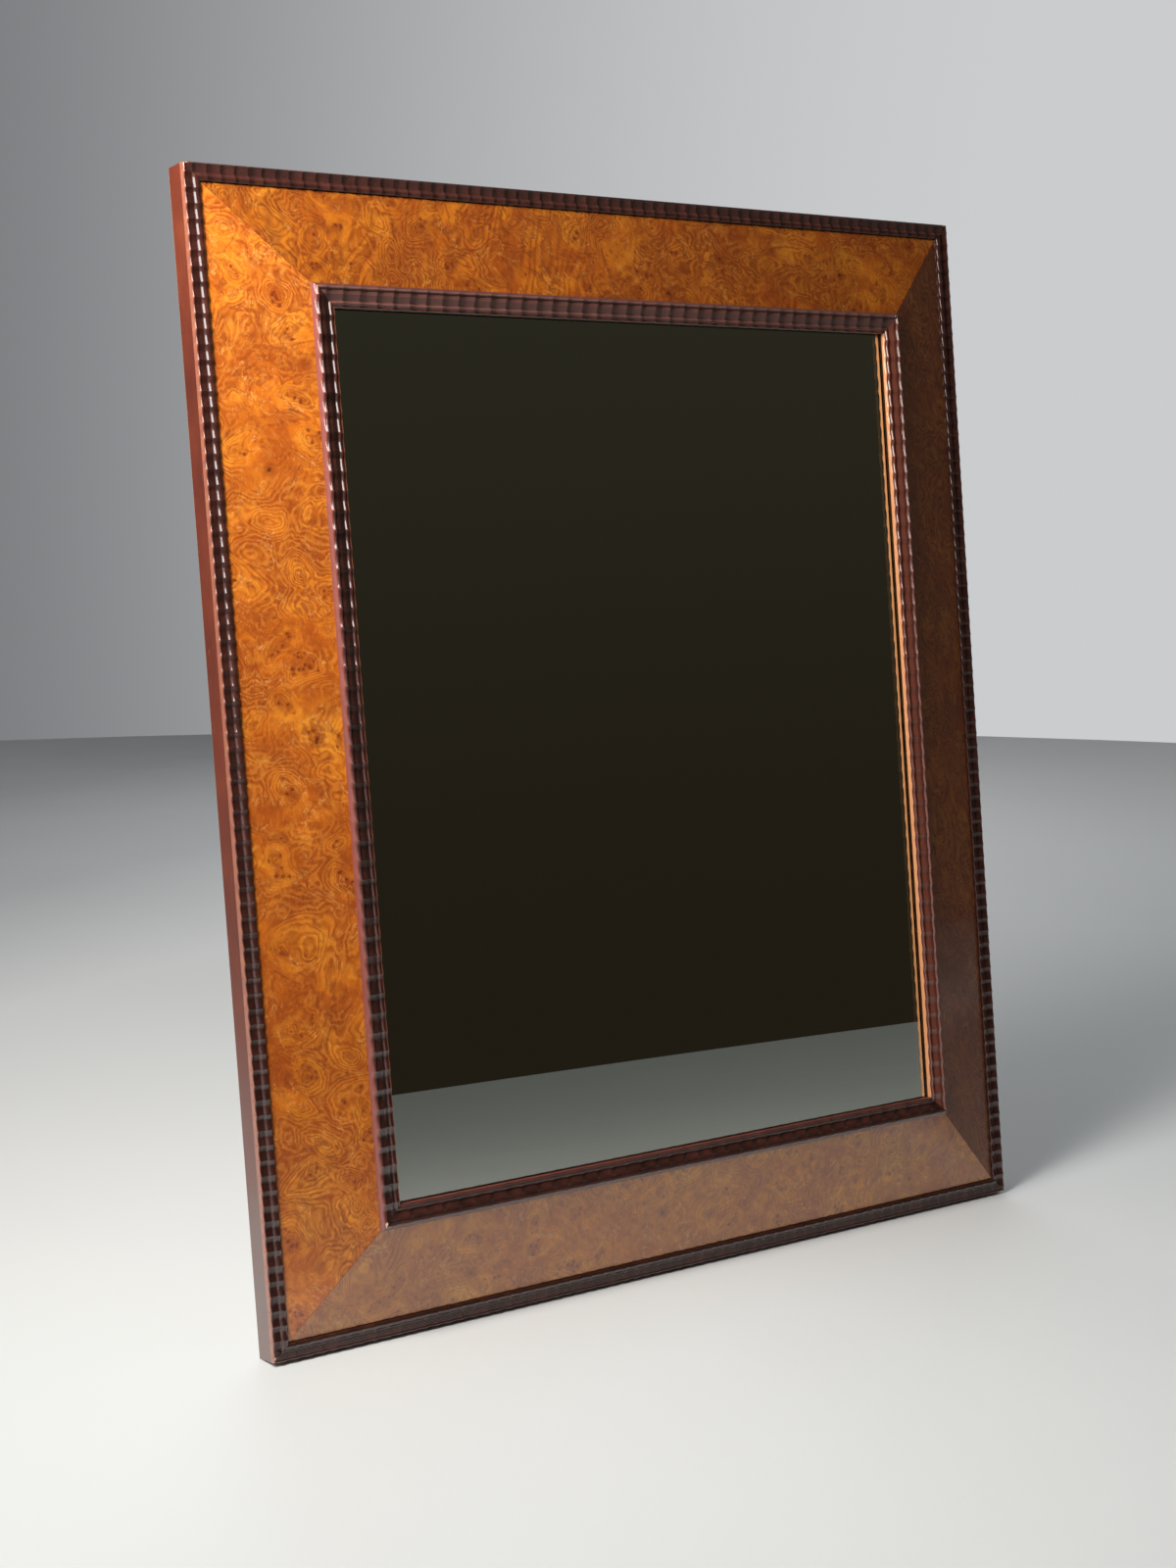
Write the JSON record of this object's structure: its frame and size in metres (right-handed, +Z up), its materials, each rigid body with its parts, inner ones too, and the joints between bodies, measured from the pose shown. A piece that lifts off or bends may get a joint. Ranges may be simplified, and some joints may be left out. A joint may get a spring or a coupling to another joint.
{
  "type": "framed wall mirror",
  "caption": "Framed wall mirror: flat glass in a reverse-profile frame of burr veneer between dark ripple mouldings, with two swinging hanger rings on its back.",
  "frame": {"origin": "bottom centre of the bounding box: under the middle of the lower edge, midway between the front of the inner moulding and the back of the hangers", "axes": "+Z up along the frame's height, the glass faces -Y, +X to the viewer's right"},
  "size_m": [0.945, 0.0692, 1.1],
  "materials": {
    "ebonised_moulding": "ebonised and polished",
    "burr_veneer": "polished burr veneer",
    "painted_softwood": "red-brown paint on the outer edge, bare at the back",
    "raw_softwood": "bare, aged",
    "mirror_glass": "flat polished plate",
    "silvering": "silvered",
    "cut_nail": "dark iron",
    "screw_steel": "dull steel",
    "hanger_brass": "aged brass"
  },
  "bodies": {
    "frame": {"outer_ripple_top": "ebonised_moulding", "inner_ripple_top": "ebonised_moulding", "burr_veneer_top": "burr_veneer", "face_member_top": "painted_softwood", "back_frame_top": "painted_softwood", "outer_ripple_bottom": "ebonised_moulding", "inner_ripple_bottom": "ebonised_moulding", "burr_veneer_bottom": "burr_veneer", "face_member_bottom": "painted_softwood", "back_frame_bottom": "painted_softwood", "outer_ripple_left": "ebonised_moulding", "inner_ripple_left": "ebonised_moulding", "burr_veneer_left": "burr_veneer", "face_member_left": "painted_softwood", "back_frame_left": "painted_softwood", "outer_ripple_right": "ebonised_moulding", "inner_ripple_right": "ebonised_moulding", "burr_veneer_right": "burr_veneer", "face_member_right": "painted_softwood", "back_frame_right": "painted_softwood", "mirror_glass": "mirror_glass", "silvering": "silvering", "glazing_blocks": "raw_softwood", "backboard_left": "raw_softwood", "backboard_middle": "raw_softwood", "backboard_right": "raw_softwood", "backboard_nails": "cut_nail", "corner_screws": "screw_steel", "hanger_screws": "screw_steel", "hanger_strap_left": "hanger_brass", "hanger_strap_right": "hanger_brass"},
    "left_ring": {"hanger_ring_left": "hanger_brass"},
    "right_ring": {"hanger_ring_right": "hanger_brass"}
  },
  "joints": [
    {"name": "left_ring_swing", "type": "hinge", "parent": "frame", "child": "left_ring", "pos_m": [-0.4235, 0.03146, 0.81], "axis": [1, 0, 0], "range_deg": [-1, 182]},
    {"name": "right_ring_swing", "type": "hinge", "parent": "frame", "child": "right_ring", "pos_m": [0.4235, 0.03146, 0.81], "axis": [1, 0, 0], "range_deg": [-1, 182]}
  ]
}
